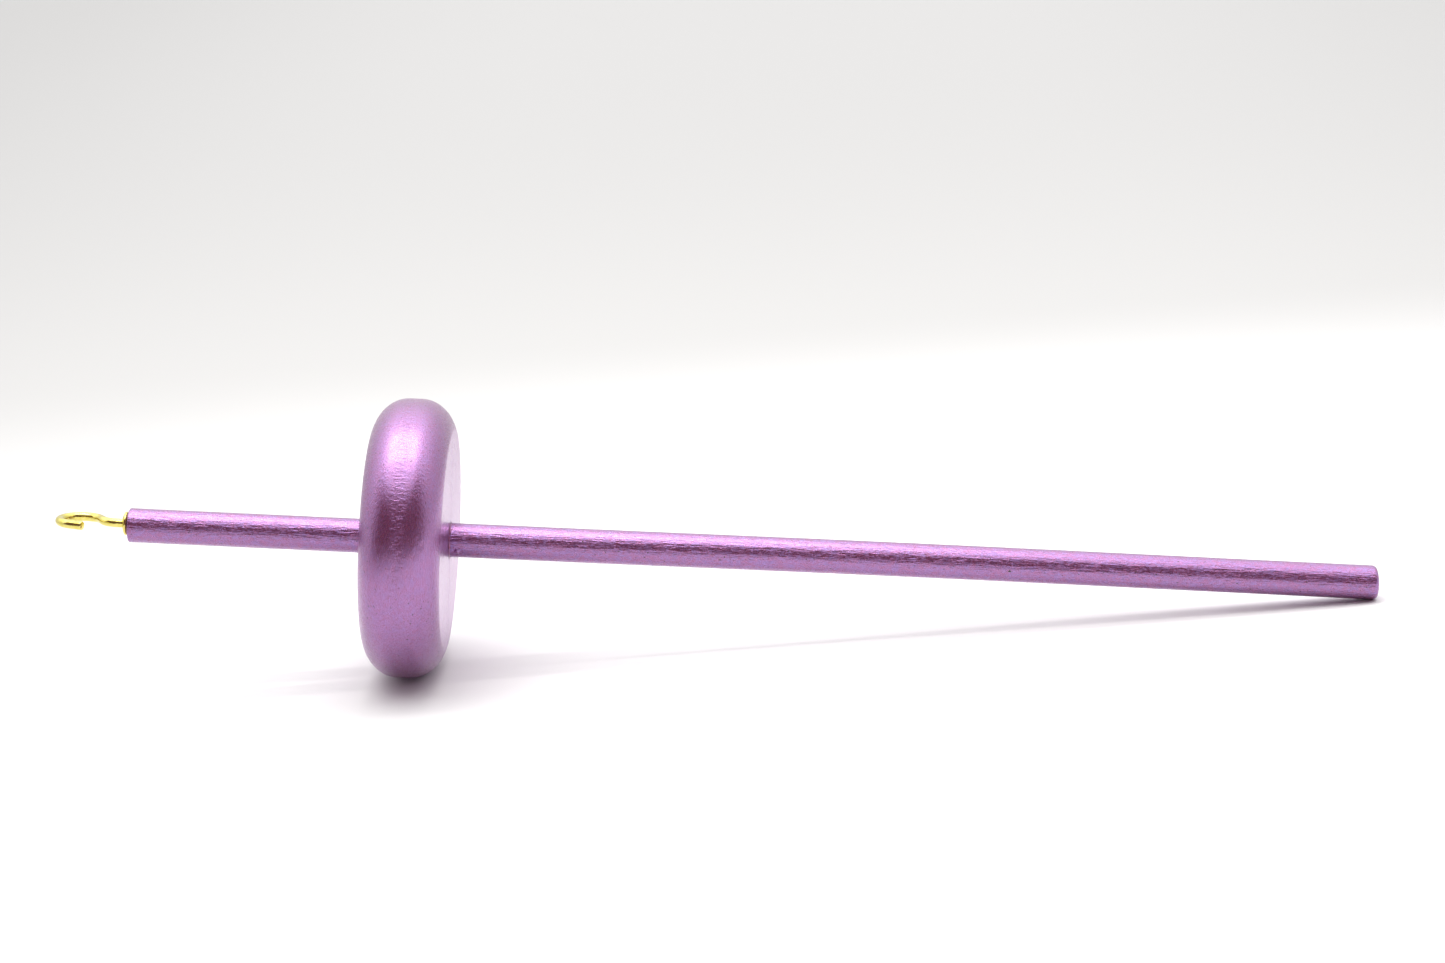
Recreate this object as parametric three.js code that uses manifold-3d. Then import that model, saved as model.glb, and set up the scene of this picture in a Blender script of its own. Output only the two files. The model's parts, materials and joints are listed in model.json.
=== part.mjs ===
// Drop spindle for hand spinning: a dowel shaft through a bullnose whorl, with a brass cup hook
// screwed into one end. It lies as it does on a table, resting on the whorl's rim and on the
// shaft's plain end. Millimetres, +Z up, z = 0 is the table, the hook end towards -X.
// Each piece is made along the spindle's own axis, which is X with x = 0 at the whorl's middle,
// and the finished spindle is then tilted about Y until both supports touch the table.

import * as THREE from 'three';
import { mergeVertices } from 'three/addons/utils/BufferGeometryUtils.js';
import Module from 'manifold-3d';

// Shaft: 8 mm dowel stock under a coat of paint.
const SHAFT_LENGTH = 299.5;
const SHAFT_DIAMETER = 8.2;
const PLAIN_END_ROUNDING = 1.2;
const PLAIN_END_SLANT = THREE.MathUtils.degToRad(3);
const HOOK_END_BEVEL = 0.25;

// Whorl: a disc of 19 mm board with its rim turned to a bullnose.
const WHORL_DIAMETER = 67;
const WHORL_THICKNESS = 19;
const WHORL_FROM_HOOK_END = 67.5;
const RIM_BAND_WIDTH = 2.8;
const RIM_ARC_ALONG_AXIS = 8.45;
const RIM_ARC_TO_AXIS = 9.7;

// Glue between the shaft and the whorl's bore, squeezed out a little at both faces.
const GLUE_THICKNESS = 0.3;
const GLUE_SQUEEZE_OUT = 0.6;

// Cup hook: plated wire, bent into a hook at one end and threaded at the other.
const WIRE_DIAMETER = 2.15;
const HOOK_OFF_CENTRE = 0.4;
const HOOK_PLANE_TURN = THREE.MathUtils.degToRad(-4.7);
const NECK_LENGTH = 2.8;
const FIRST_BEND_RADIUS = 4.7;
const FIRST_BEND_ANGLE = THREE.MathUtils.degToRad(66);
const LOOP_RADIUS = 5.1;
const LOOP_ANGLE = THREE.MathUtils.degToRad(227);
const TIP_LENGTH = 3;
const THREAD_LENGTH = 9.5;
const THREAD_POINT_LENGTH = 2.5;
const THREAD_PITCH = 1.4;
const THREAD_ROOT_DIAMETER = 1.7;
const THREAD_HEIGHT = 0.4;

// Collar: a pressed disc on the hook's neck, domed towards the hook.
const COLLAR_DIAMETER = 5.7;
const COLLAR_RIM_THICKNESS = 0.9;
const COLLAR_DOME_HEIGHT = 0.4;

// Room left between pieces that touch on the real spindle.
const CLEARANCE = 0.3;

// Fineness of the round surfaces.
const SHAFT_SIDES = 32;
const WHORL_SIDES = 48;
const WIRE_SIDES = 12;
const SMALL_ROUND_SIDES = 24;
const RIM_ARC_STEPS = 10;
const END_ARC_STEPS = 4;
const WIRE_STEPS = 64;
const ROWS_PER_PITCH = 10;

const shaftRadius = SHAFT_DIAMETER / 2;
const whorlRadius = WHORL_DIAMETER / 2;
const whorlHalf = WHORL_THICKNESS / 2;
const wireRadius = WIRE_DIAMETER / 2;
const hookEnd = -WHORL_FROM_HOOK_END;
const plainEnd = SHAFT_LENGTH - WHORL_FROM_HOOK_END;
const boreRadius = shaftRadius + GLUE_THICKNESS + 2 * CLEARANCE;
const pilotRadius = THREAD_ROOT_DIAMETER / 2 + THREAD_HEIGHT + CLEARANCE;
const pilotDepth = THREAD_LENGTH + CLEARANCE;

const wasm = await Module();
wasm.setup();

function solidOf(geometry) {
  const bare = geometry.clone();
  bare.deleteAttribute('normal');
  bare.deleteAttribute('uv');
  const merged = mergeVertices(bare, 1e-3);
  const vertProperties = new Float32Array(merged.attributes.position.array);
  const triVerts = new Uint32Array(merged.index.array);
  return new wasm.Manifold(new wasm.Mesh({ numProp: 3, vertProperties, triVerts }));
}

function geometryOf(solid) {
  const mesh = solid.getMesh();
  const geometry = new THREE.BufferGeometry();
  geometry.setAttribute('position', new THREE.BufferAttribute(mesh.vertProperties, 3));
  geometry.setIndex(new THREE.BufferAttribute(mesh.triVerts, 1));
  geometry.computeVertexNormals();
  return geometry;
}

// A point of an outline to be turned on the lathe: how far along the axis, and how far from it.
function at(along, radius) {
  return new THREE.Vector2(radius, along);
}

// Turns an outline about the spindle's axis, with a flat of the many-sided surface underneath.
function turned(outline, sides) {
  const geometry = new THREE.LatheGeometry(outline, sides, Math.PI / sides);
  geometry.rotateZ(-Math.PI / 2);
  return geometry;
}

function arcPoints(steps, pointAt) {
  return Array.from({ length: steps + 1 }, (_, i) => pointAt(i / steps));
}

// The saw cut at the plain end is a little off square, with the lower side longer.
function slantPlainEnd(dowel) {
  const place = dowel.attributes.position;
  for (let i = 0; i < place.count; i += 1) {
    if (place.getX(i) > plainEnd - 2 * PLAIN_END_ROUNDING) {
      place.setX(i, place.getX(i) - place.getZ(i) * Math.tan(PLAIN_END_SLANT));
    }
  }
}

function shaftGeometry() {
  const roundedEnd = arcPoints(END_ARC_STEPS, (t) => {
    const angle = t * Math.PI / 2;
    return at(
      plainEnd - PLAIN_END_ROUNDING * (1 - Math.sin(angle)),
      shaftRadius - PLAIN_END_ROUNDING * (1 - Math.cos(angle)),
    );
  });
  const dowel = turned([
    at(hookEnd, 0),
    at(hookEnd, shaftRadius - HOOK_END_BEVEL),
    at(hookEnd + HOOK_END_BEVEL, shaftRadius),
    ...roundedEnd,
    at(plainEnd, 0),
  ], SHAFT_SIDES);
  slantPlainEnd(dowel);
  const pilotHole = turned([
    at(hookEnd - 1, 0),
    at(hookEnd - 1, pilotRadius),
    at(hookEnd + pilotDepth, pilotRadius),
    at(hookEnd + pilotDepth + pilotRadius / 2, 0),
  ], SMALL_ROUND_SIDES);
  pilotHole.translate(0, 0, HOOK_OFF_CENTRE);
  return geometryOf(solidOf(dowel).subtract(solidOf(pilotHole)));
}

// The rim's outline from the edge of its middle band to where the flat face cuts it.
function rimArc(side) {
  const bandHalf = RIM_BAND_WIDTH / 2;
  const lastAngle = Math.asin((whorlHalf - bandHalf) / RIM_ARC_ALONG_AXIS);
  return arcPoints(RIM_ARC_STEPS, (t) => at(
    side * (bandHalf + RIM_ARC_ALONG_AXIS * Math.sin(t * lastAngle)),
    whorlRadius - RIM_ARC_TO_AXIS * (1 - Math.cos(t * lastAngle)),
  ));
}

function whorlGeometry() {
  return turned([
    at(-whorlHalf, boreRadius),
    ...rimArc(-1).reverse(),
    ...rimArc(1),
    at(whorlHalf, boreRadius),
    at(-whorlHalf, boreRadius),
  ], WHORL_SIDES);
}

function glueLineGeometry() {
  const inner = shaftRadius + CLEARANCE;
  const outer = inner + GLUE_THICKNESS;
  const end = whorlHalf + GLUE_SQUEEZE_OUT;
  return turned([
    at(-end, inner),
    at(-whorlHalf, outer),
    at(whorlHalf, outer),
    at(end, inner),
    at(-end, inner),
  ], SMALL_ROUND_SIDES);
}

// The hook's centre line, flat in its own plane: forward from the shaft's end, and sideways.
function hookOutline() {
  const outline = new THREE.Path();
  outline.moveTo(CLEARANCE, 0);
  outline.lineTo(NECK_LENGTH, 0);
  outline.absarc(NECK_LENGTH, FIRST_BEND_RADIUS, FIRST_BEND_RADIUS,
    -Math.PI / 2, FIRST_BEND_ANGLE - Math.PI / 2, false);
  const bendEnd = outline.currentPoint.clone();
  const towardsCentre = FIRST_BEND_ANGLE - Math.PI / 2;
  const centre = bendEnd.add(new THREE.Vector2(
    LOOP_RADIUS * Math.cos(towardsCentre),
    LOOP_RADIUS * Math.sin(towardsCentre),
  ));
  const loopStart = FIRST_BEND_ANGLE + Math.PI / 2;
  outline.absarc(centre.x, centre.y, LOOP_RADIUS, loopStart, loopStart - LOOP_ANGLE, true);
  const heading = FIRST_BEND_ANGLE - LOOP_ANGLE;
  const loopEnd = outline.currentPoint.clone();
  outline.lineTo(
    loopEnd.x + TIP_LENGTH * Math.cos(heading),
    loopEnd.y + TIP_LENGTH * Math.sin(heading),
  );
  return outline;
}

// The same line in space, in front of the shaft's hook end.
class HookLine extends THREE.Curve {
  constructor() {
    super();
    this.outline = hookOutline();
  }

  getPoint(t, target = new THREE.Vector3()) {
    const flat = this.outline.getPoint(t);
    return target.set(
      hookEnd - flat.x,
      flat.y * Math.cos(HOOK_PLANE_TURN),
      HOOK_OFF_CENTRE + flat.y * Math.sin(HOOK_PLANE_TURN),
    );
  }
}

// The extrusion cuts each half of the round section into as many sides as curveSegments says.
function wireGeometry() {
  const section = new THREE.Shape();
  section.absarc(0, 0, wireRadius, 0, 2 * Math.PI, false);
  return new THREE.ExtrudeGeometry(section, {
    extrudePath: new HookLine(),
    steps: WIRE_STEPS,
    curveSegments: WIRE_SIDES / 2,
    bevelEnabled: false,
  });
}

// Height of the helical ridge above the thread's root, at a place along it and around it.
function ridgeHeight(depth, angle) {
  const turn = depth / THREAD_PITCH + angle / (2 * Math.PI);
  const fromCrest = Math.abs(turn - Math.round(turn)) * 2;
  return THREAD_HEIGHT * Math.max(0, 1 - 1.6 * fromCrest);
}

// How full the screw is: 0 at its point, 1 from the end of the tapered stretch on.
function fullness(depth) {
  return THREE.MathUtils.clamp((THREAD_LENGTH - depth) / THREAD_POINT_LENGTH, 0, 1);
}

function screwGeometry() {
  const neckTop = CLEARANCE + COLLAR_RIM_THICKNESS;
  const rows = Math.round(THREAD_LENGTH / THREAD_PITCH * ROWS_PER_PITCH);
  const rootRadius = THREAD_ROOT_DIAMETER / 2;
  const outline = [at(THREAD_LENGTH, 0)];
  for (let row = rows - 1; row >= 1; row -= 1) {
    const depth = row / rows * THREAD_LENGTH;
    outline.push(at(depth, rootRadius * fullness(depth)));
  }
  outline.push(at(0, rootRadius), at(-neckTop, rootRadius), at(-neckTop, 0));
  const screw = new THREE.LatheGeometry(outline.reverse(), WIRE_SIDES);
  const place = screw.attributes.position;
  for (let i = 0; i < place.count; i += 1) {
    const depth = place.getY(i);
    const radius = Math.hypot(place.getX(i), place.getZ(i));
    if (depth > 0 && radius > 0) {
      const angle = Math.atan2(place.getX(i), place.getZ(i));
      const grown = (radius + ridgeHeight(depth, angle) * fullness(depth)) / radius;
      place.setX(i, place.getX(i) * grown);
      place.setZ(i, place.getZ(i) * grown);
    }
  }
  screw.rotateZ(-Math.PI / 2);
  screw.translate(hookEnd, 0, HOOK_OFF_CENTRE);
  return screw;
}

function cupHookGeometry() {
  return geometryOf(solidOf(wireGeometry()).add(solidOf(screwGeometry())));
}

function collarGeometry() {
  const hole = wireRadius + CLEARANCE;
  const rim = COLLAR_DIAMETER / 2;
  const back = hookEnd - CLEARANCE;
  const edge = COLLAR_RIM_THICKNESS / 3;
  const front = back - COLLAR_RIM_THICKNESS;
  const collar = turned([
    at(front - COLLAR_DOME_HEIGHT, hole),
    at(front, rim - COLLAR_DOME_HEIGHT),
    at(front + edge, rim),
    at(back - edge, rim),
    at(back, rim - edge),
    at(back, hole),
    at(front - COLLAR_DOME_HEIGHT, hole),
  ], SMALL_ROUND_SIDES);
  collar.translate(0, 0, HOOK_OFF_CENTRE);
  return collar;
}

// The tilt at which the whorl's rim and the shaft's plain end rest on one plane, found by halving.
function restingTilt() {
  const whorlFlat = whorlRadius * Math.cos(Math.PI / WHORL_SIDES);
  const shaftFlat = shaftRadius * Math.cos(Math.PI / SHAFT_SIDES);
  const whorlReach = (tilt) => RIM_BAND_WIDTH / 2 * Math.sin(tilt)
    + (whorlFlat - RIM_ARC_TO_AXIS) * Math.cos(tilt)
    + Math.hypot(RIM_ARC_ALONG_AXIS * Math.sin(tilt), RIM_ARC_TO_AXIS * Math.cos(tilt));
  const shaftReach = (tilt) => (plainEnd - PLAIN_END_ROUNDING) * Math.sin(tilt)
    + (shaftFlat - PLAIN_END_ROUNDING) * Math.cos(tilt) + PLAIN_END_ROUNDING;
  let low = 0;
  let high = Math.PI / 6;
  for (let halving = 0; halving < 40; halving += 1) {
    const middle = (low + high) / 2;
    if (shaftReach(middle) < whorlReach(middle)) low = middle;
    else high = middle;
  }
  return low;
}

const paint = { color: 0x9a4fa3, roughness: 0.38, metalness: 0.55 };
const brass = { color: 0xe3bf3e, roughness: 0.18, metalness: 1 };

function piece(name, geometry, look) {
  const mesh = new THREE.Mesh(geometry, new THREE.MeshStandardMaterial(look));
  mesh.name = name;
  return mesh;
}

const spindle = new THREE.Group();
spindle.add(
  piece('shaft', shaftGeometry(), paint),
  piece('whorl', whorlGeometry(), paint),
  piece('glue_line', glueLineGeometry(), paint),
  piece('cup_hook', cupHookGeometry(), brass),
  piece('hook_collar', collarGeometry(), brass),
);
spindle.rotation.y = restingTilt();

// Stand the tilted spindle on the table, with the middle of its box over the origin.
const box = new THREE.Box3().setFromObject(spindle, true);
const middle = box.getCenter(new THREE.Vector3());
spindle.position.set(-middle.x, -middle.y, -box.min.z);

const group = new THREE.Group();
group.add(spindle);

export default group;
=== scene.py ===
import json
import math

import bmesh
import bpy
import numpy as np
from mathutils import Matrix, Vector


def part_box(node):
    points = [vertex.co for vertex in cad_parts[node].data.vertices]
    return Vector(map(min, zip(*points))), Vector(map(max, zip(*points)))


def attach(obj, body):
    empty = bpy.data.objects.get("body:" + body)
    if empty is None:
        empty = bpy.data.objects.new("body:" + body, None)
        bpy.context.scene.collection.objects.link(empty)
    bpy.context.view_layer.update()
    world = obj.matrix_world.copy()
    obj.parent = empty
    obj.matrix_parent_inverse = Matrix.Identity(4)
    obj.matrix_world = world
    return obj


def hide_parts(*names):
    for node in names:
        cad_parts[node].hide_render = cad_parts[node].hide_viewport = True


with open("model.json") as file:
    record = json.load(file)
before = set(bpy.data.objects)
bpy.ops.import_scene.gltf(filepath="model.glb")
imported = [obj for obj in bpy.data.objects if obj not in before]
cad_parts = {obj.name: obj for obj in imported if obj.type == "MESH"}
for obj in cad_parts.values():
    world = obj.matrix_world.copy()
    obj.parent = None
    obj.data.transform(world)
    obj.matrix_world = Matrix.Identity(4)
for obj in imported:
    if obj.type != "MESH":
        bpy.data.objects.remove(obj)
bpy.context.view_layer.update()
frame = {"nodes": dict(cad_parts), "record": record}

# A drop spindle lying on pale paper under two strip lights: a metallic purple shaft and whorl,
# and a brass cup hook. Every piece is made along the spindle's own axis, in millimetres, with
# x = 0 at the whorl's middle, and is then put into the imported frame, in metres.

MM = 0.001

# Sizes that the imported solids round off, in millimetres, as in the CAD part.
RIM_BAND_HALF = 1.4
RIM_ARC_ALONG_AXIS = 8.45
RIM_ARC_TO_AXIS = 9.7
PLAIN_END_ROUNDING = 1.2
HOOK_END_BEVEL = 0.25
HOOK_OFF_CENTRE = 0.4
HOOK_PLANE_TURN = math.radians(-4.7)
WIRE_RADIUS = 1.075
NECK_LENGTH = 2.8
FIRST_BEND_RADIUS = 4.7
FIRST_BEND_ANGLE = math.radians(66)
LOOP_RADIUS = 5.1
LOOP_ANGLE = math.radians(227)
TIP_LENGTH = 3.0
THREAD_LENGTH = 9.5
THREAD_POINT_LENGTH = 2.5
THREAD_PITCH = 1.4
THREAD_ROOT_RADIUS = 0.85
THREAD_HEIGHT = 0.4
PILOT_RADIUS = 1.55
PILOT_DEPTH = 9.8
COLLAR_GAP = 0.3
COLLAR_RADIUS = 2.85
COLLAR_RIM_THICKNESS = 0.9
COLLAR_DOME_HEIGHT = 0.4

# The real play between the shaft and the whorl's bore, which the glue fills.
BORE_PLAY = 0.12


# The spindle's own frame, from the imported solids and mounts.

def mount(name):
    return next(m for m in frame["record"]["mounts"] if m["name"] == name)


def spindle_frame():
    low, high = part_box("whorl")
    axis = Vector(mount("whorl_shaft_side_face")["axis"]).normalized()
    across = Vector((0, 1, 0))
    turned = Matrix((axis, across, axis.cross(across))).transposed().to_4x4()
    turned.translation = (low + high) / 2
    return turned


SPINDLE = spindle_frame()


def on_axis(point):
    """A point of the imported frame, in metres, as millimetres along and across the spindle."""
    return np.array(SPINDLE.inverted() @ Vector(point)) / MM


def cad_points(node):
    return np.array([on_axis(v.co) for v in frame["nodes"][node].data.vertices])


def radii(points):
    return np.hypot(points[:, 1], points[:, 2])


def plain_end():
    """Where the plain end's face crosses the axis, and the slope of its slightly slanted cut."""
    face = mount("shaft_plain_end")
    normal = SPINDLE.to_3x3().inverted() @ Vector(face["axis"])
    return on_axis(face["pos_m"])[0], normal.z / normal.x


SHAFT_POINTS = cad_points("shaft")
WHORL_POINTS = cad_points("whorl")
SHAFT_RADIUS = radii(SHAFT_POINTS).max()
HOOK_END = SHAFT_POINTS[:, 0].min()
WHORL_RADIUS = radii(WHORL_POINTS).max()
WHORL_HALF = WHORL_POINTS[:, 0].max()
PLAIN_END, PLAIN_END_SLOPE = plain_end()


# Mesh making.

def skin(name, rows, closed=False):
    """A piece over rows of points round a line. The first and last rows close to a point,
    or the rows close on themselves."""
    count, around = len(rows), len(rows[0])
    points = np.array(rows, float).reshape(-1, 3)
    j = np.arange(around)
    beside = (j + 1) % around
    faces = []
    for i in range(count if closed else count - 1):
        here, after = i * around, (i + 1) % count * around
        faces.append(np.stack([here + j, here + beside, after + beside, after + j], 1))
    faces = np.concatenate(faces).tolist()
    if not closed:
        middles = np.stack([points[:around].mean(0), points[-around:].mean(0)])
        first, last = len(points), len(points) + 1
        points = np.concatenate([points, middles])
        base = (count - 1) * around
        faces += [[int(a), first, int(b)] for a, b in zip(beside, j)]
        faces += [[base + int(a), last, base + int(b)] for a, b in zip(j, beside)]
    turn = np.array(SPINDLE)
    points = points * MM @ turn[:3, :3].T + turn[:3, 3]
    mesh = bpy.data.meshes.new(name)
    mesh.from_pydata(points.tolist(), [], faces)
    face_out(mesh)
    mesh.shade_smooth()
    piece = bpy.data.objects.new(name, mesh)
    bpy.context.scene.collection.objects.link(piece)
    return piece


def face_out(mesh):
    """Turns every face of a closed mesh to look outwards."""
    whole = bmesh.new()
    whole.from_mesh(mesh)
    bmesh.ops.recalc_face_normals(whole, faces=whole.faces)
    whole.to_mesh(mesh)
    whole.free()


def circle(along, radius, angles, lift=0.0):
    """A row of points round the axis. along and radius are numbers, or one value for each angle."""
    return np.stack([
        along + 0 * angles,
        radius * np.cos(angles),
        radius * np.sin(angles) + lift,
    ], 1)


def angles_round(count):
    return np.arange(count) / count * 2 * math.pi


def smooth_step(x, start, end):
    t = np.clip((x - start) / (end - start), 0, 1)
    return t * t * (3 - 2 * t)


def relief(rows, columns, long, wide, seed):
    """Random relief, periodic both ways, with ridges about long rows by wide columns; spread 1."""
    white = np.random.default_rng(seed).standard_normal((rows, columns))
    f_long = np.fft.fftfreq(rows)[:, None] * long
    f_wide = np.fft.fftfreq(columns)[None, :] * wide
    band = f_wide ** 2 * np.exp(-f_wide ** 2) * np.exp(-f_long ** 2)
    rough = np.fft.ifft2(np.fft.fft2(white) * band).real
    return rough / rough.std()


def sample(table, row, column):
    """The table's value between its rows and columns, which repeat."""
    r, c = np.floor(row).astype(int), np.floor(column).astype(int)
    dr, dc = row - r, column - c
    rows, columns = table.shape
    near = table[r % rows, c % columns] * (1 - dc) + table[r % rows, (c + 1) % columns] * dc
    far = table[(r + 1) % rows, c % columns] * (1 - dc)
    far = far + table[(r + 1) % rows, (c + 1) % columns] * dc
    return near * (1 - dr) + far * dr


# Shaft: a dowel with raised grain, a rounded plain end and the hook's pilot hole.

SHAFT_AROUND = 240
SHAFT_STEP = 0.9
BOW = 0.25
GRAIN_DEPTH = 0.012
COARSE_GRAIN = 0.5
FINE_GRAIN = 0.3
WALL_START = HOOK_END + HOOK_END_BEVEL
WALL_END = PLAIN_END - PLAIN_END_ROUNDING


def shaft_bow(x):
    """How far the dowel's own slight bend lifts it between the whorl and the plain end."""
    t = np.clip((x - WHORL_HALF) / (PLAIN_END - WHORL_HALF), 0, 1)
    return BOW * np.sin(math.pi * t) ** 2


def pilot_hole_rows(angles):
    """From the hole's pointed bottom out to its mouth."""
    bottom = HOOK_END + PILOT_DEPTH
    point = [circle(bottom + PILOT_RADIUS / 2 * (1 - t), PILOT_RADIUS * t, angles, HOOK_OFF_CENTRE)
             for t in np.linspace(0.05, 1, 6)]
    wall = [circle(HOOK_END + PILOT_DEPTH * t, PILOT_RADIUS, angles, HOOK_OFF_CENTRE)
            for t in np.linspace(1, 0, 12)[1:]]
    return point + wall


def hook_end_rows(angles):
    """From the hole's mouth across the flat end and over its small bevel."""
    flat_radius = SHAFT_RADIUS - HOOK_END_BEVEL
    flat = [circle(HOOK_END, PILOT_RADIUS + (flat_radius - PILOT_RADIUS) * t, angles,
                   HOOK_OFF_CENTRE * (1 - t))
            for t in np.linspace(0, 1, 9)[1:]]
    bevel = [circle(HOOK_END + HOOK_END_BEVEL * (1 - math.cos(t)),
                    flat_radius + HOOK_END_BEVEL * math.sin(t), angles)
             for t in np.linspace(0, math.pi / 2, 5)[1:-1]]
    return flat + bevel


def plain_end_rows(angles, grain):
    """Round the corner, where the wall's grain fades out, and in to the middle of the face."""
    corner = [circle(WALL_END + PLAIN_END_ROUNDING * math.sin(t),
                     SHAFT_RADIUS - PLAIN_END_ROUNDING * (1 - math.cos(t)) + grain * math.cos(t),
                     angles)
              for t in np.linspace(0, math.pi / 2, 10)[1:]]
    face = [circle(PLAIN_END, (SHAFT_RADIUS - PLAIN_END_ROUNDING) * t, angles)
            for t in np.linspace(1, 0.06, 10)[1:]]
    return corner + face


def make_shaft():
    angles = angles_round(SHAFT_AROUND)
    places = np.linspace(WALL_START, WALL_END, int((WALL_END - WALL_START) / SHAFT_STEP) + 1)
    coarse = relief(len(places), SHAFT_AROUND, long=9, wide=12, seed=11)
    fine = relief(len(places), SHAFT_AROUND, long=3, wide=5, seed=12)
    grain = GRAIN_DEPTH * (COARSE_GRAIN * coarse + FINE_GRAIN * fine)
    wall = [circle(x, SHAFT_RADIUS + ridge, angles, shaft_bow(x)) for x, ridge in zip(places, grain)]
    rows = np.array(pilot_hole_rows(angles) + hook_end_rows(angles) + wall
                    + plain_end_rows(angles, grain[-1]))
    near_end = smooth_step(rows[..., 0], PLAIN_END - 3 * PLAIN_END_ROUNDING, WALL_END)
    rows[..., 0] -= near_end * rows[..., 2] * PLAIN_END_SLOPE
    return skin("spindle_shaft", rows)


# Whorl: a disc cut from a board, its grain running up and down the disc.

WHORL_AROUND = 576
BOARD_PITCH = 0.15
BOARD_DEPTH = 0.008
LATHE_MARK_DEPTH = 0.006
LATHE_MARK_REACH = 2.8


def board_relief(x, y, z):
    """Relief of a board whose grain runs along z, wandering a little."""
    table = relief(256, 512, long=3.5, wide=4.5, seed=21)
    drift = 0.8 * np.sin(z / 14 + x / 5) + 0.3 * np.sin(z / 4.1 + y / 9)
    return sample(table, x / BOARD_PITCH, (y + drift) / BOARD_PITCH)


def whorl_outline():
    """(along, radius) pairs once round the whorl's section, from the bore on the hook side."""
    bore = SHAFT_RADIUS + BORE_PLAY
    last = math.asin((WHORL_HALF - RIM_BAND_HALF) / RIM_ARC_ALONG_AXIS)
    face_radius = WHORL_RADIUS - RIM_ARC_TO_AXIS * (1 - math.cos(last))
    arc = [(RIM_BAND_HALF + RIM_ARC_ALONG_AXIS * math.sin(t),
            WHORL_RADIUS - RIM_ARC_TO_AXIS * (1 - math.cos(t)))
           for t in np.linspace(0, last, 36)]
    face = [(WHORL_HALF, r) for r in np.linspace(face_radius, bore, 26)[1:]]
    right = arc + face
    left = [(-x, r) for x, r in reversed(right)]
    band = [(x, WHORL_RADIUS) for x in np.linspace(-RIM_BAND_HALF, RIM_BAND_HALF, 7)[1:-1]]
    wall = [(x, bore) for x in np.linspace(WHORL_HALF, -WHORL_HALF, 8)[1:-1]]
    return np.array(left + band + right + wall)


def make_whorl():
    angles = angles_round(WHORL_AROUND)
    outline = whorl_outline()
    slope = np.roll(outline, -1, 0) - np.roll(outline, 1, 0)
    normal = np.stack([-slope[:, 1], slope[:, 0]], 1)
    normal /= np.linalg.norm(normal, axis=1)[:, None]
    along, radius = outline[:, :1], outline[:, 1:]
    y, z = radius * np.cos(angles), radius * np.sin(angles)
    grain = board_relief(along + 0 * y, y, z) * (radius > SHAFT_RADIUS + 2 * BORE_PLAY)
    marks = relief(len(outline), WHORL_AROUND, long=14, wide=2.6, seed=22)
    crest = np.exp(-(along / LATHE_MARK_REACH) ** 2) * (radius > WHORL_RADIUS * 0.8)
    depth = BOARD_DEPTH * grain + LATHE_MARK_DEPTH * marks * crest
    radius = radius + depth * normal[:, 1:]
    rows = np.stack([
        along + depth * normal[:, :1],
        radius * np.cos(angles),
        radius * np.sin(angles),
    ], -1)
    return skin("spindle_whorl", rows, closed=True)


# Glue: the film in the bore, with a small painted-over lip at each face, and a drop on the shaft.

GLUE_AROUND = 96
GLUE_GAP = 0.03
GLUE_LIP = 0.35
LIP_UNEVENNESS = 0.35
LIP_FLATNESS = 0.9
BEAD_AROUND = 32
BEAD_FROM_WHORL = 2.0
BEAD_ANGLE = math.radians(204)
BEAD_HALF_WIDTH = 0.75
BEAD_HEIGHT = 0.3


def glue_lip(side, angles, reach):
    """Rows from inside the bore, over the lip at one face of the whorl, to the shaft."""
    outer = SHAFT_RADIUS + BORE_PLAY - GLUE_GAP
    rows = [circle(side * x, outer, angles) for x in (WHORL_HALF - 1, WHORL_HALF + 0.02)]
    for t in np.linspace(0, math.pi / 2, 6):
        out = WHORL_HALF + 0.04 + LIP_FLATNESS * reach * (1 - math.cos(t))
        rows.append(circle(side * out, SHAFT_RADIUS + GLUE_GAP + reach * (1 - math.sin(t)), angles))
    return rows


def make_glue():
    angles = angles_round(GLUE_AROUND)
    uneven = LIP_UNEVENNESS * relief(4, GLUE_AROUND, long=1, wide=14, seed=31)[0]
    reach = (GLUE_LIP - GLUE_GAP) * (1 + uneven)
    lips = glue_lip(-1, angles, reach)[::-1] + glue_lip(1, angles, reach)
    inside = [circle(x, SHAFT_RADIUS + GLUE_GAP, angles) for x in (WHORL_HALF, 0, -WHORL_HALF)]
    return skin("glue_film", lips + inside, closed=True)


def make_bead():
    """A drop of glue that has set on the shaft, under the paint."""
    angles = angles_round(BEAD_AROUND)
    out = np.array([0.0, math.cos(BEAD_ANGLE), math.sin(BEAD_ANGLE)])
    beside = np.array([0.0, -math.sin(BEAD_ANGLE), math.cos(BEAD_ANGLE)])
    along = np.array([1.0, 0.0, 0.0])
    foot = along * (WHORL_HALF + BEAD_FROM_WHORL) + out * (SHAFT_RADIUS - BEAD_HEIGHT / 2)
    ring = np.cos(angles)[:, None] * along + np.sin(angles)[:, None] * beside
    rows = [foot + out * 1.5 * BEAD_HEIGHT * math.sin(t) + ring * BEAD_HALF_WIDTH * math.cos(t)
            for t in np.linspace(0, 0.45 * math.pi, 9)]
    return skin("glue_bead", rows)


# Hook: one wire, threaded at one end and bent into a loop at the other.

HOOK_AROUND = 32
WIRE_STEP = 0.14
WEAR_DEPTH = 0.006
TIP_BLUNTING = 0.3


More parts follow.
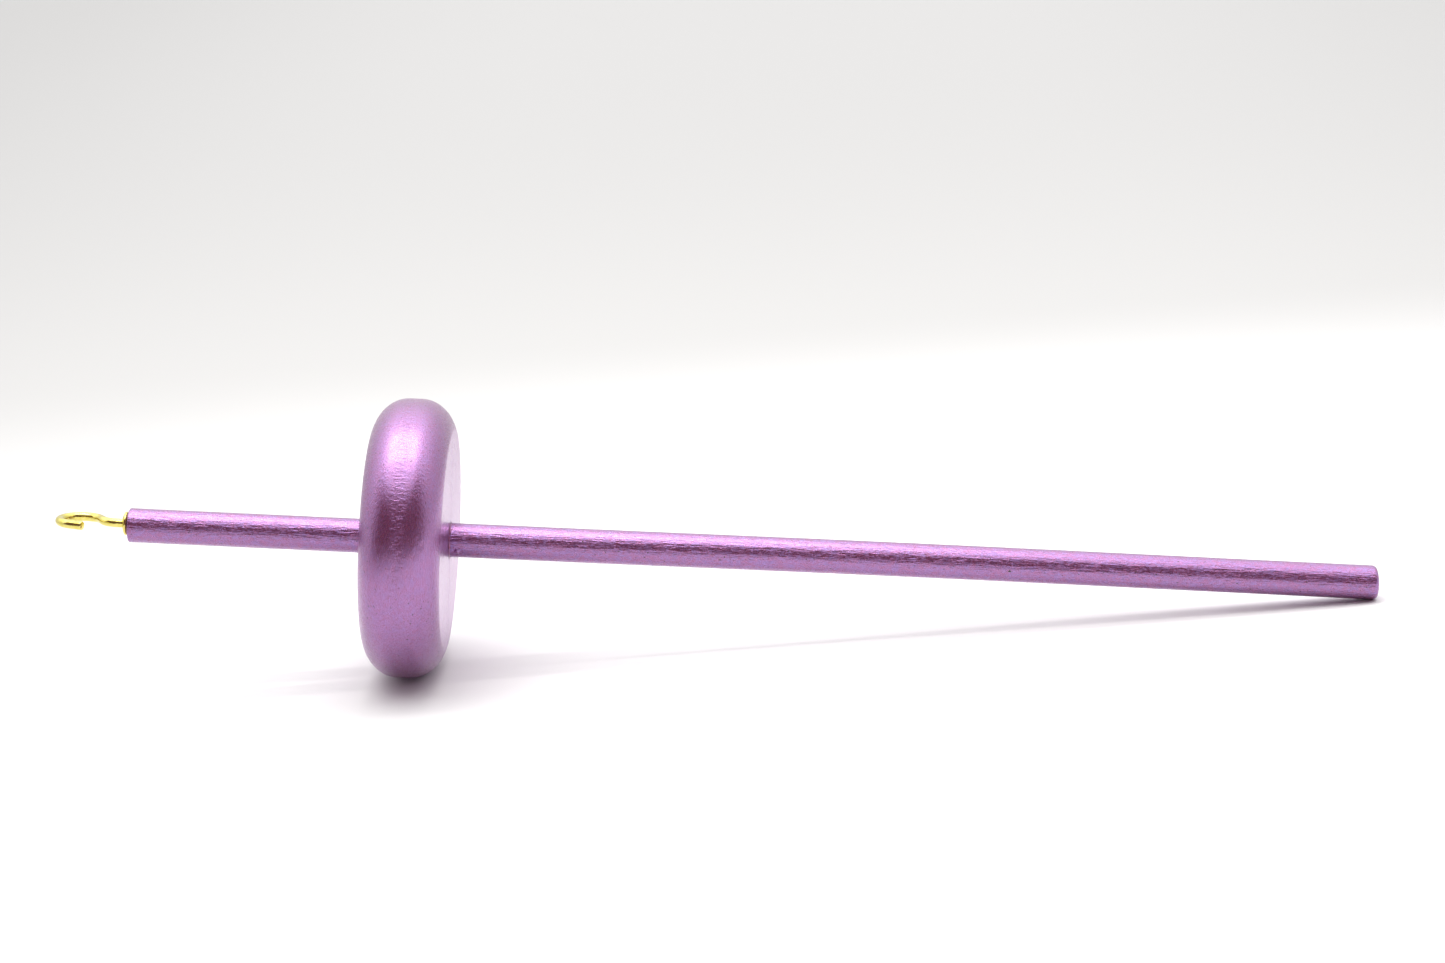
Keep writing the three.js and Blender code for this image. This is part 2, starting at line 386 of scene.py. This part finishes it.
def hook_centre_line():
    """Points along the hook in its own plane, forward and sideways, with the heading at each."""
    points, headings = [], []
    place, heading = np.zeros(2), 0.0
    for length, turn in ((NECK_LENGTH, 0.0),
                         (FIRST_BEND_RADIUS * FIRST_BEND_ANGLE, FIRST_BEND_ANGLE),
                         (LOOP_RADIUS * LOOP_ANGLE, -LOOP_ANGLE),
                         (TIP_LENGTH, 0.0)):
        steps = max(2, int(length / WIRE_STEP))
        for _ in range(steps):
            points.append(place.copy())
            headings.append(heading)
            middle = heading + turn / steps / 2
            place = place + length / steps * np.array([math.cos(middle), math.sin(middle)])
            heading += turn / steps
    points.append(place)
    headings.append(heading)
    return np.array(points), np.array(headings)


def thread_radius(depth, angles):
    """The screw's radius at a depth in the wood, for each angle round it."""
    full = min(1.0, (THREAD_LENGTH - depth) / THREAD_POINT_LENGTH)
    turn = depth / THREAD_PITCH + angles / (2 * math.pi)
    from_crest = np.abs(turn - np.round(turn)) * 2
    ridge = THREAD_HEIGHT * np.clip(1 - 1.6 * from_crest, 0, 1)
    return (THREAD_ROOT_RADIUS + ridge) * full


def screw_rows(angles):
    """From the screw's point out to the shaft's end."""
    return [circle(HOOK_END + depth, thread_radius(depth, angles), angles, HOOK_OFF_CENTRE)
            for depth in np.arange(THREAD_LENGTH - 0.05, 0, -WIRE_STEP / 2)]


def wire_rows(angles):
    """From the shaft's end round the hook, with a rounded edge at the cut tip."""
    line, headings = hook_centre_line()
    wear = WEAR_DEPTH * relief(len(line), HOOK_AROUND, long=5, wide=6, seed=41)
    along = np.array([-1.0, 0.0, 0.0])
    side = np.array([0.0, math.cos(HOOK_PLANE_TURN), math.sin(HOOK_PLANE_TURN)])
    over = np.array([0.0, -math.sin(HOOK_PLANE_TURN), math.cos(HOOK_PLANE_TURN)])
    start = np.array([HOOK_END, 0.0, HOOK_OFF_CENTRE])

    def ring(k, beyond=0.0, share=1.0):
        forward = along * math.cos(headings[k]) + side * math.sin(headings[k])
        sideways = side * math.cos(headings[k]) - along * math.sin(headings[k])
        centre = start + along * line[k][0] + side * line[k][1] + forward * beyond
        radius = (WIRE_RADIUS + wear[k]) * share
        return (centre + (radius * np.cos(angles))[:, None] * sideways
                + (radius * np.sin(angles))[:, None] * over)

    last = len(line) - 1
    rows = [ring(k) for k in range(1, last + 1)]
    for t in np.linspace(0.3, math.pi / 2, 5):
        share = 1 - TIP_BLUNTING / WIRE_RADIUS * (1 - math.cos(t))
        rows.append(ring(last, TIP_BLUNTING * math.sin(t), share))
    return rows


def make_hook():
    angles = angles_round(HOOK_AROUND)
    return skin("hook_wire", screw_rows(angles) + wire_rows(angles))


# Collar: a pressed disc round the hook's neck, domed towards the hook and hollow behind.

COLLAR_AROUND = 96
COLLAR_PLAY = 0.03
COLLAR_FLAT = 0.25
COLLAR_HOLLOW = 0.35
COLLAR_EDGE_RADIUS = 0.45 * COLLAR_RIM_THICKNESS


def collar_outline():
    """(along, radius) pairs once round the collar's section, from the front of its hole."""
    hole = WIRE_RADIUS + COLLAR_PLAY
    back = HOOK_END - COLLAR_GAP
    front = back - COLLAR_RIM_THICKNESS
    top = front - COLLAR_DOME_HEIGHT
    dome_start = hole + COLLAR_FLAT
    rim = COLLAR_RADIUS - COLLAR_EDGE_RADIUS
    flat = [(top, hole), (top, dome_start)]
    dome = [(front - COLLAR_DOME_HEIGHT * math.cos(t * math.pi / 2),
             dome_start + (rim - dome_start) * t)
            for t in np.linspace(0, 1, 7)[1:]]
    edge = [(front + COLLAR_EDGE_RADIUS * (1 - math.cos(t)), rim + COLLAR_EDGE_RADIUS * math.sin(t))
            for t in np.linspace(0, math.pi, 9)[1:-1]]
    hollow = [(front + 2 * COLLAR_EDGE_RADIUS, rim),
              (back - COLLAR_HOLLOW, rim - COLLAR_EDGE_RADIUS),
              (back - COLLAR_HOLLOW, hole)]
    return flat + dome + edge + hollow


def make_collar():
    angles = angles_round(COLLAR_AROUND)
    rows = [circle(x, r, angles, HOOK_OFF_CENTRE) for x, r in collar_outline()]
    return skin("collar_disc", rows, closed=True)


# Materials.

class Nodes:
    """Short calls for one node tree. A call that adds a node gives the node's output socket."""

    def __init__(self, tree):
        self.tree = tree

    def feed(self, socket, value):
        """Links an output socket to an input socket, or sets the input to a constant."""
        if isinstance(value, bpy.types.NodeSocket):
            self.tree.links.new(value, socket)
        else:
            socket.default_value = value

    def add(self, kind, inputs=None, output=0, **settings):
        node = self.tree.nodes.new(kind)
        for key, value in settings.items():
            setattr(node, key, value)
        for key, value in (inputs or {}).items():
            self.feed(node.inputs[key], value)
        return node.outputs[output]

    def math(self, operation, a, b=0.0):
        return self.add("ShaderNodeMath", {0: a, 1: b}, operation=operation)

    def plus(self, a, b):
        return self.math("ADD", a, b)

    def times(self, a, b):
        return self.math("MULTIPLY", a, b)

    def split(self, vector):
        x = self.add("ShaderNodeSeparateXYZ", {0: vector})
        return x.node.outputs

    def frame_place(self):
        """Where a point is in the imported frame, in metres."""
        return self.add("ShaderNodeTexCoord", output=3)

    def spindle_place(self):
        """Where a point is along and across the spindle, in millimetres."""
        own = self.add("ShaderNodeMapping", {
            "Vector": self.frame_place(),
            "Location": SPINDLE.translation,
            "Rotation": SPINDLE.to_euler(),
        }, vector_type="TEXTURE")
        return self.scaled(own, (1 / MM,) * 3)

    def scaled(self, vector, by):
        return self.add("ShaderNodeVectorMath", {0: vector, 1: by}, operation="MULTIPLY")

    def noise(self, place, scale, detail=2.0, roughness=0.5, distortion=0.0):
        return self.add("ShaderNodeTexNoise", {
            "Vector": place,
            "Scale": scale,
            "Detail": detail,
            "Roughness": roughness,
            "Distortion": distortion,
        })

    def ramp(self, value, start, end, low=0.0, high=1.0):
        return self.add("ShaderNodeMapRange", {
            "Value": value,
            "From Min": start,
            "From Max": end,
            "To Min": low,
            "To Max": high,
        }, interpolation_type="SMOOTHSTEP")

    def blend(self, share, first, second):
        """A colour between two others, each a socket or three numbers."""
        inputs = {0: share}
        for key, colour in ((6, first), (7, second)):
            inputs[key] = colour if isinstance(colour, bpy.types.NodeSocket) else (*colour, 1)
        return self.add("ShaderNodeMix", inputs, output=2, data_type="RGBA")

    def bump(self, height, distance):
        return self.add("ShaderNodeBump", {
            "Strength": 1.0,
            "Distance": distance * MM,
            "Height": height,
        })

    def set_shader(self, **values):
        """Sets the Principled shader's inputs, with _ for each space in their names."""
        shader = self.tree.nodes["Principled BSDF"]
        for key, value in values.items():
            self.feed(shader.inputs[key.replace("_", " ")], value)


def new_material(name):
    material = bpy.data.materials.new(name)
    material.use_nodes = True
    return material, Nodes(material.node_tree)


# Paint. Noise scales are in cells per millimetre, and heights are shares of RELIEF_HEIGHT.

FLAKE_PINK = (0.395, 0.179, 0.383)
FLAKE_BLUE = (0.335, 0.214, 0.508)
DYE = (0.22, 0.022, 0.066)
SPECK = (0.05, 0.025, 0.03)
RELIEF_HEIGHT = 0.06
DYE_SCALE = 28.0
SPECK_SCALE = 2.1
FLAKE_SCALE = 3.4
DRIFT_SCALE = 0.7
FLAKE_SHARE = 0.6
FIBRE_RELIEF = 2.2
CHIP_RELIEF = 0.28
BOARD_FIBRE_RELIEF = 1.6
GRIT_RELIEF = 0.45
LATHE_MARK_RELIEF = 0.55


def shaft_relief(n, place):
    """Torn fibres and small lifted chips, all running along the dowel."""
    fibres = n.noise(n.scaled(place, (0.12, 1, 1)), 2.3, roughness=0.6, distortion=0.4)
    chips = n.noise(n.scaled(place, (0.22, 1, 1)), 3.0, detail=1, distortion=0.3)
    chips = n.ramp(chips, 0.48, 0.60)
    return n.plus(n.times(fibres, FIBRE_RELIEF), n.times(chips, CHIP_RELIEF))


def whorl_relief(n, place):
    """Upright grain at the sides, fine grit, and short marks left across the rim by the lathe tool."""
    x, y, z = n.split(place)
    from_crest = n.math("ABSOLUTE", x)
    fibres = n.noise(n.scaled(place, (1, 1, 0.03)), 2.8, roughness=0.6, distortion=0.1)
    fibres = n.times(fibres, n.ramp(from_crest, 1.5, 4.5))
    grit = n.noise(place, 4.5, detail=1, roughness=0.6)
    round_rim = n.times(n.math("ARCTAN2", z, y), WHORL_RADIUS)
    unrolled = n.add("ShaderNodeCombineXYZ", {0: n.times(x, 0.4), 1: round_rim})
    marks = n.ramp(n.noise(unrolled, 1.5, detail=1, distortion=0.6), 0.45, 0.60)
    marks = n.times(marks, n.ramp(from_crest, 2.6, 0.8))
    height = n.plus(n.times(fibres, BOARD_FIBRE_RELIEF), n.times(grit, GRIT_RELIEF))
    return n.plus(height, n.times(marks, LATHE_MARK_RELIEF))


def metallic_paint(name, relief_height, along_grain, hue_spread, dye_and_shade_from=0.56):
    """Purple metallic paint: flakes that drift from pink to lilac, fine dark dye between them,
    and a few bare specks."""
    material, n = new_material(name)
    place = n.spindle_place()
    # dye_and_shade_from sets how much dark dye shows; a lower value also paints shade, as on the
    # glue's lip in the crease.
    dye_and_shade = n.ramp(n.noise(place, DYE_SCALE, detail=0), dye_and_shade_from, dye_and_shade_from + 0.06)
    specks = n.ramp(n.noise(place, SPECK_SCALE, detail=0), 0.80, 0.82)
    flakes = n.noise(n.scaled(place, along_grain), FLAKE_SCALE, roughness=0.7)
    drift = n.noise(place, DRIFT_SCALE)
    mixed = n.plus(n.times(flakes, FLAKE_SHARE), n.times(drift, 1 - FLAKE_SHARE))
    hue = n.ramp(mixed, 0.5 - hue_spread, 0.5 + hue_spread)
    colour = n.blend(dye_and_shade, n.blend(hue, FLAKE_PINK, FLAKE_BLUE), DYE)
    dull = n.math("MAXIMUM", specks, n.times(dye_and_shade, 0.9))
    n.set_shader(
        Base_Color=n.blend(specks, colour, SPECK),
        Metallic=n.math("SUBTRACT", 1.0, dull),
        Roughness=n.ramp(flakes, 0.3, 0.7, 0.25, 0.32),
        Normal=n.bump(relief_height(n, place), RELIEF_HEIGHT),
        Coat_Weight=0.37,
        Coat_Roughness=0.25,
    )
    return material


# Brass plating.

BRASS_PALE = (0.76, 0.66, 0.21)
BRASS_DEEP = (0.72, 0.61, 0.145)
BRASS_RELIEF_HEIGHT = 0.004


def polished_brass(name):
    material, n = new_material(name)
    place = n.spindle_place()
    patches = n.noise(place, 0.8, detail=3)
    fine = n.noise(place, 5.0, detail=3)
    n.set_shader(
        Base_Color=n.blend(n.ramp(patches, 0.4, 0.65), BRASS_PALE, BRASS_DEEP),
        Metallic=1.0,
        Roughness=n.ramp(patches, 0.3, 0.7, 0.08, 0.16),
        Normal=n.bump(fine, BRASS_RELIEF_HEIGHT),
    )
    return material


# Stage: pale paper, a light tent's pale walls and its dark open front, and two strip lights.

PAPER_REACH = 8.0
# The paper's shades are painted light and shade, not its own colour: lighter to the right, and darker
# to the left, behind, far off and to the sides.
PAPER_SHADED_LEFT = (0.695, 0.695, 0.695)
PAPER_LIT_RIGHT = (0.85, 0.85, 0.85)
PAPER_SHADED_BEHIND = (0.53, 0.53, 0.525)
PAPER_SHADED_FAR = (0.545, 0.545, 0.54)
PAPER_SHADED_SIDES = (0.475, 0.475, 0.47)


def paper_material():
    """Paper painted with light and shade: palest round the spindle and to the right, and darker to the
    left, behind it and off to the sides, where less light falls.
    """
    material, n = new_material("paper")
    x, y, _ = n.split(n.frame_place())
    # Each ramp paints shade onto the paper: darker to the left, behind the spindle, far off and to the
    # sides.
    colour = n.blend(n.ramp(x, -0.30, 0.15), PAPER_SHADED_LEFT, PAPER_LIT_RIGHT)
    colour = n.blend(n.ramp(y, 0.10, 0.36), colour, PAPER_SHADED_BEHIND)
    colour = n.blend(n.ramp(y, 0.4, 1.3), colour, PAPER_SHADED_FAR)
    colour = n.blend(n.ramp(n.math("ABSOLUTE", x), 0.12, 0.6), colour, PAPER_SHADED_SIDES)
    n.set_shader(Base_Color=colour, Roughness=0.9, Specular_IOR_Level=0.1)
    return material


def make_paper():
    mesh = bpy.data.meshes.new("paper")
    corners = [(PAPER_REACH * x, PAPER_REACH * y, 0) for x, y in ((-1, -1), (1, -1), (1, 1), (-1, 1))]
    mesh.from_pydata(corners, [], [(0, 1, 2, 3)])
    mesh.materials.append(paper_material())
    paper = bpy.data.objects.new("paper", mesh)
    bpy.context.scene.collection.objects.link(paper)


TENT_WALL = (0.95, 0.95, 0.95)
TENT_CEILING = (2.5, 2.5, 2.5)
TENT_OPENING = (0.169, 0.101, 0.112)
BACKDROP = (0.8, 0.8, 0.8)
OPENING_SIDE_ANGLES = (math.radians(85), math.radians(65))
OPENING_TOP_ANGLES = (math.radians(62), math.radians(48))


def make_tent():
    """Light from all round by direction: pale walls and ceiling, and a dark open front."""
    world = bpy.data.worlds.new("light_tent")
    world.use_nodes = True
    bpy.context.scene.world = world
    n = Nodes(world.node_tree)
    x, y, z = n.split(n.add("ShaderNodeTexCoord"))
    flat = n.math("SQRT", n.plus(n.times(x, x), n.times(y, y)))
    toward_front = n.math("DIVIDE", n.times(y, -1), n.math("MAXIMUM", flat, 1e-4))
    wide = n.ramp(toward_front, *(math.cos(angle) for angle in OPENING_SIDE_ANGLES))
    high = n.ramp(z, *(math.sin(angle) for angle in OPENING_TOP_ANGLES))
    cloth = n.blend(n.ramp(z, 0.2, 1.0), TENT_WALL, TENT_CEILING)
    tent = n.blend(n.times(wide, high), cloth, TENT_OPENING)
    seen_by_camera = n.add("ShaderNodeLightPath")
    background = world.node_tree.nodes["Background"]
    n.feed(background.inputs["Color"], n.blend(seen_by_camera, tent, BACKDROP))


STRIP_LENGTH = 0.5
STRIP_WIDTH = 0.035
STRIP_HEIGHT = 0.60
STRIP_POWER = 0.75
STRIP_COLOUR = (1.0, 0.975, 0.945)
STRIP_FROM_WHORL = -0.012


def strip_light(name, y):
    data = bpy.data.lights.new(name, "AREA")
    data.shape = "RECTANGLE"
    data.size = STRIP_LENGTH
    data.size_y = STRIP_WIDTH
    data.energy = STRIP_POWER
    data.color = STRIP_COLOUR
    lamp = bpy.data.objects.new(name, data)
    lamp.location = (SPINDLE.translation.x + STRIP_FROM_WHORL, y, STRIP_HEIGHT)
    lamp.visible_camera = False
    bpy.context.scene.collection.objects.link(lamp)


# Camera.

CAMERA_PLACE = (0.0296, -0.7364, 0.2389)
CAMERA_DOWN = math.radians(15.0)
CAMERA_LEFT = math.radians(2.074)
CAMERA_ROLL = math.radians(4.956)
FOCAL_LENGTH = 79.7
SENSOR_WIDTH = 36


def make_camera():
    data = bpy.data.cameras.new("camera")
    data.lens = FOCAL_LENGTH
    data.sensor_width = SENSOR_WIDTH
    data.clip_start = 0.01
    data.clip_end = 50
    camera = bpy.data.objects.new("camera", data)
    camera.matrix_world = (Matrix.Translation(CAMERA_PLACE)
                           @ Matrix.Rotation(CAMERA_LEFT, 4, "Z")
                           @ Matrix.Rotation(math.pi / 2 - CAMERA_DOWN, 4, "X")
                           @ Matrix.Rotation(-CAMERA_ROLL, 4, "Z"))
    bpy.context.scene.collection.objects.link(camera)
    bpy.context.scene.camera = camera


def finish_piece(piece, material, node):
    piece.data.materials.append(material)
    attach(piece, "root")
    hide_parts(node)


make_camera()
bpy.context.scene.view_settings.view_transform = "Standard"
make_paper()
make_tent()
strip_light("strip_front", -0.036)
strip_light("strip_back", 0.123)

shaft_paint = metallic_paint("shaft_paint", shaft_relief, (0.25, 1, 1), hue_spread=0.12)
whorl_paint = metallic_paint("whorl_paint", whorl_relief, (1, 1, 0.12), hue_spread=0.3)
# The glue's lip gets more dark dye than the wood's paint: painted shade in the crease where the shaft
# enters the whorl.
crease_shaded_glue_paint = metallic_paint("crease_shaded_glue_paint", shaft_relief, (1, 1, 1), hue_spread=0.12, dye_and_shade_from=0.42)
brass = polished_brass("brass_plating")
finish_piece(make_shaft(), shaft_paint, "shaft")
finish_piece(make_whorl(), whorl_paint, "whorl")
finish_piece(make_glue(), crease_shaded_glue_paint, "glue_line")
finish_piece(make_bead(), shaft_paint, "glue_line")
finish_piece(make_hook(), brass, "cup_hook")
finish_piece(make_collar(), brass, "hook_collar")
